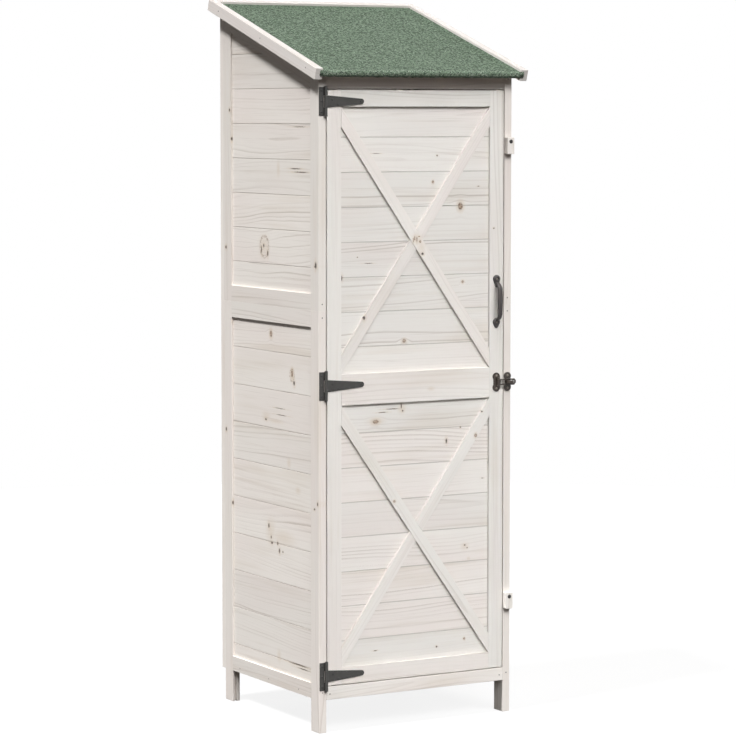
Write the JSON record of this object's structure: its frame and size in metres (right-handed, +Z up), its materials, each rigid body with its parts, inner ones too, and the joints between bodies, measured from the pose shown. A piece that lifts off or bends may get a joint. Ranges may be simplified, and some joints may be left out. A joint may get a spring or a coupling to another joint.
{
  "type": "garden shed",
  "caption": "Narrow garden tool shed of whitewashed boards with a sloping felt roof and a cross-braced door on T-hinges, with a pull handle, a hasp and turn buttons.",
  "frame": {"origin": "centre of the overall width and depth, at the level of the legs' feet", "axes": "+Z up, front with the door faces -Y, +X to the right as seen from the front"},
  "size_m": [0.5976, 0.5636, 1.7798],
  "materials": {
    "front_timber": "thin white wash",
    "side_timber": "thin white wash",
    "inside_timber": "thin white wash",
    "roof_timber": "thin white wash",
    "button_timber": "thin white wash",
    "felt": "mineral granules on bitumen felt",
    "hinge_metal": "satin",
    "hasp_metal": "satin",
    "handle_metal": "dark bronze",
    "nail_steel": "dull"
  },
  "bodies": {
    "carcass": {"left_leg_front": "side_timber", "left_leg_rear": "side_timber", "left_lower_rails": "side_timber", "left_lower_boards": "side_timber", "left_upper_stiles": "side_timber", "left_upper_rails": "side_timber", "left_upper_boards": "side_timber", "right_leg_front": "side_timber", "right_leg_rear": "side_timber", "right_lower_rails": "side_timber", "right_lower_boards": "side_timber", "right_upper_stiles": "side_timber", "right_upper_rails": "side_timber", "right_upper_boards": "side_timber", "front_sill": "front_timber", "front_header": "front_timber", "back_stiles": "side_timber", "back_rails": "side_timber", "back_boards": "side_timber", "floor_boards": "inside_timber", "floor_cleats": "inside_timber", "shelf_lower": "inside_timber", "shelf_upper": "inside_timber", "shelf_cleats": "inside_timber", "door_stop": "inside_timber", "roof_deck": "roof_timber", "roof_felt": "felt", "barge_left": "roof_timber", "barge_right": "roof_timber", "roof_rear_strip": "roof_timber", "nails": "nail_steel", "hinge_leaf_top": "hinge_metal", "hinge_leaf_middle": "hinge_metal", "hinge_leaf_bottom": "hinge_metal", "hinge_pins": "hinge_metal", "post_screws": "hinge_metal", "button_screws": "hinge_metal", "keeper_plate": "hasp_metal"},
    "door": {"door_stile_hinge": "front_timber", "door_stile_latch": "front_timber", "door_rail_top": "front_timber", "door_rail_middle": "front_timber", "door_rail_bottom": "front_timber", "door_boards_upper": "front_timber", "door_boards_lower": "front_timber", "door_brace_upper": "front_timber", "door_brace_upper_halves": "front_timber", "door_brace_lower": "front_timber", "door_brace_lower_halves": "front_timber", "hinge_strap_top": "hinge_metal", "hinge_strap_middle": "hinge_metal", "hinge_strap_bottom": "hinge_metal", "door_screws": "hinge_metal", "door_handle": "handle_metal", "hasp_plate": "hasp_metal", "hasp_pin": "hasp_metal"},
    "hasp_link": {"hasp_link": "hasp_metal"},
    "hasp_knob": {"hasp_knob": "hasp_metal"},
    "turn_button_upper": {"turn_button_upper": "button_timber"},
    "turn_button_lower": {"turn_button_lower": "button_timber"}
  },
  "joints": [
    {"name": "door_hinge", "type": "hinge", "parent": "carcass", "child": "door", "pos_m": [-0.2545, -0.25067, 0.83], "axis": [0, 0, -1], "range_deg": [0, 180]},
    {"name": "hasp_link_hinge", "type": "hinge", "parent": "door", "child": "hasp_link", "pos_m": [0.233, -0.25267, 0.83], "axis": [0, 0, -1], "range_deg": [0, 175]},
    {"name": "hasp_knob_turn", "type": "hinge", "parent": "carcass", "child": "hasp_knob", "pos_m": [0.2625, -0.24617, 0.83], "axis": [0, 1, 0], "range_deg": [0, 90]},
    {"name": "upper_button_turn", "type": "hinge", "parent": "carcass", "child": "turn_button_upper", "pos_m": [0.2625, -0.24617, 1.4245], "axis": [0, 1, 0], "range_deg": [0, 90]},
    {"name": "lower_button_turn", "type": "hinge", "parent": "carcass", "child": "turn_button_lower", "pos_m": [0.2625, -0.24617, 0.2925], "axis": [0, 1, 0], "range_deg": [0, 90]}
  ]
}
